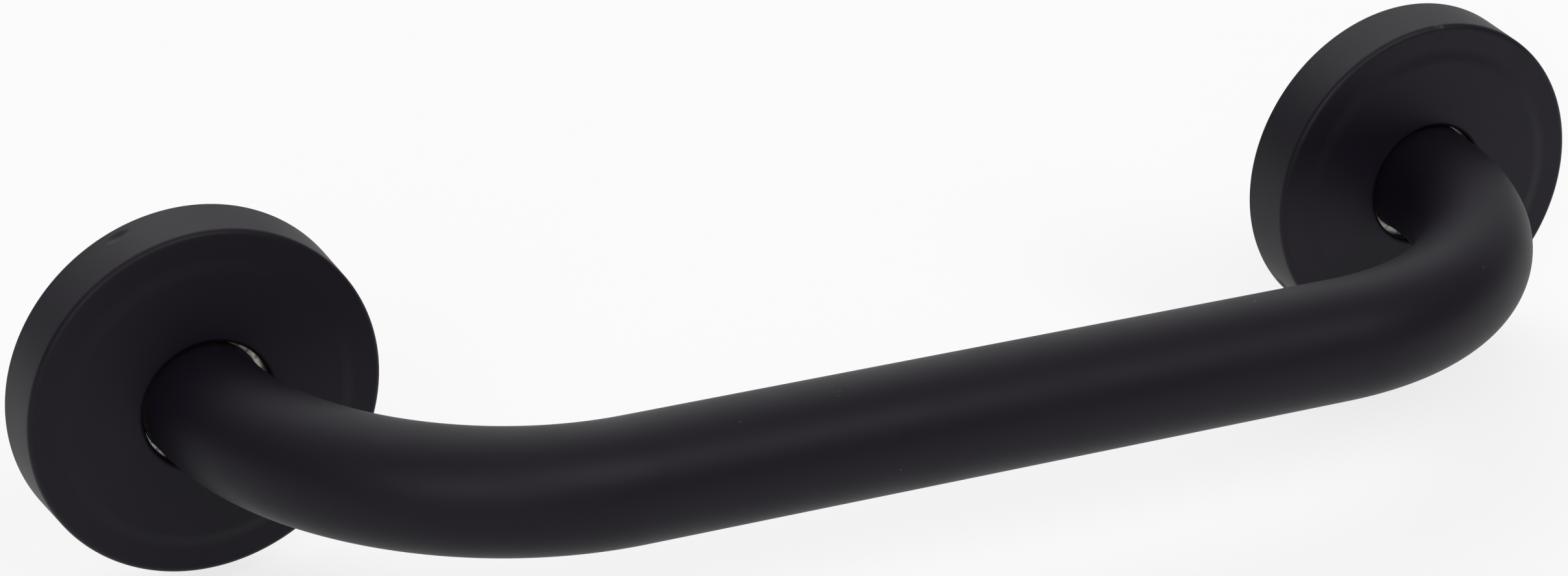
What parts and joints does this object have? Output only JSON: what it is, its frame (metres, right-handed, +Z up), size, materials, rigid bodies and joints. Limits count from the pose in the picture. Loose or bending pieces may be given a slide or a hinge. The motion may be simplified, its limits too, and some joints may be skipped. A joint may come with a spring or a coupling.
{
  "type": "bathtub grab bar",
  "caption": "Matte black wall grab bar: a bent round tube welded to wall plates, each plate hidden by a round press-on cover that slides along the leg.",
  "frame": {"origin": "on the wall plane, midway between the centres of the two wall plates", "axes": "+X along the bar, -Y from the wall out to the bar, +Z up"},
  "size_m": [0.3614, 0.0889, 0.0746],
  "materials": {
    "tube_paint": "matte powder coat",
    "plate_steel": "bare, brushed",
    "weld_steel": "bare weld metal",
    "cover_paint": "matte powder coat"
  },
  "bodies": {
    "bar": {"grab_tube": "tube_paint", "left_plate": "plate_steel", "right_plate": "plate_steel", "left_weld": "weld_steel", "right_weld": "weld_steel"},
    "left_cover": {"left_cover": "cover_paint"},
    "right_cover": {"right_cover": "cover_paint"}
  },
  "joints": [
    {"name": "left_cover_slide", "type": "slide", "parent": "bar", "child": "left_cover", "axis": [0, -1, 0], "range_m": [0, 0.007]},
    {"name": "right_cover_slide", "type": "slide", "parent": "bar", "child": "right_cover", "axis": [0, -1, 0], "range_m": [0, 0.007]}
  ]
}
